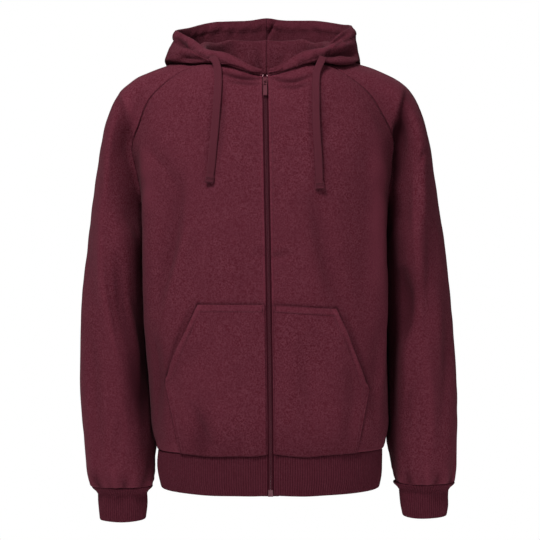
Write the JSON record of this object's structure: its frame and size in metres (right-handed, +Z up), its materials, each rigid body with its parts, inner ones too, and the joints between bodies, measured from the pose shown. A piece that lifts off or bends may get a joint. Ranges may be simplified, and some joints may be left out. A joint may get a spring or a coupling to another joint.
{
  "type": "zip up hoodie",
  "caption": "Raglan-sleeved zip-up hooded sweatshirt in its worn, hollow shape, with hood down, patch pockets, ribbed hem and cuffs, flat draw cords and a hinged zip pull.",
  "frame": {"origin": "between the shoulders at the height of the neck base, where a wearer's neck and shoulders hold the garment up", "axes": "+X to the right in a front view (the wearer's left), -Y out of the front, +Z up"},
  "size_m": [0.635, 0.3119, 0.8697],
  "materials": {
    "burgundy_fleece": "soft brushed sweatshirt fleece",
    "burgundy_fleece_hood": "soft brushed sweatshirt fleece",
    "burgundy_rib": "knitted rib",
    "burgundy_flat_cord": "flat knitted cord",
    "burgundy_zip_tape": "woven tape",
    "burgundy_nylon_coil": "nylon coil",
    "burgundy_painted_metal": "painted metal, satin",
    "zip_bright_metal": "bright metal"
  },
  "bodies": {
    "hoodie": {"back": "burgundy_fleece", "cord_left": "burgundy_flat_cord", "cord_right": "burgundy_flat_cord", "cuff_left": "burgundy_rib", "cuff_right": "burgundy_rib", "front_left": "burgundy_fleece", "front_right": "burgundy_fleece", "hem_rib": "burgundy_rib", "hood_left": "burgundy_fleece_hood", "hood_right": "burgundy_fleece_hood", "pocket_left": "burgundy_fleece", "pocket_right": "burgundy_fleece", "sleeve_left": "burgundy_fleece", "sleeve_right": "burgundy_fleece", "zip_bottom_box": "zip_bright_metal", "zip_chain": "burgundy_nylon_coil", "zip_slider": "burgundy_painted_metal", "zip_tape_left": "burgundy_zip_tape", "zip_tape_right": "burgundy_zip_tape", "zip_top_stop_left": "zip_bright_metal", "zip_top_stop_right": "zip_bright_metal"},
    "pull": {"zip_pull": "burgundy_painted_metal"}
  },
  "joints": [
    {"name": "zip_pull_swing", "type": "hinge", "parent": "hoodie", "child": "pull", "pos_m": [-0.00171, -0.10798, -0.03487], "axis": [-1, 0, 0], "range_deg": [0, 150]}
  ]
}
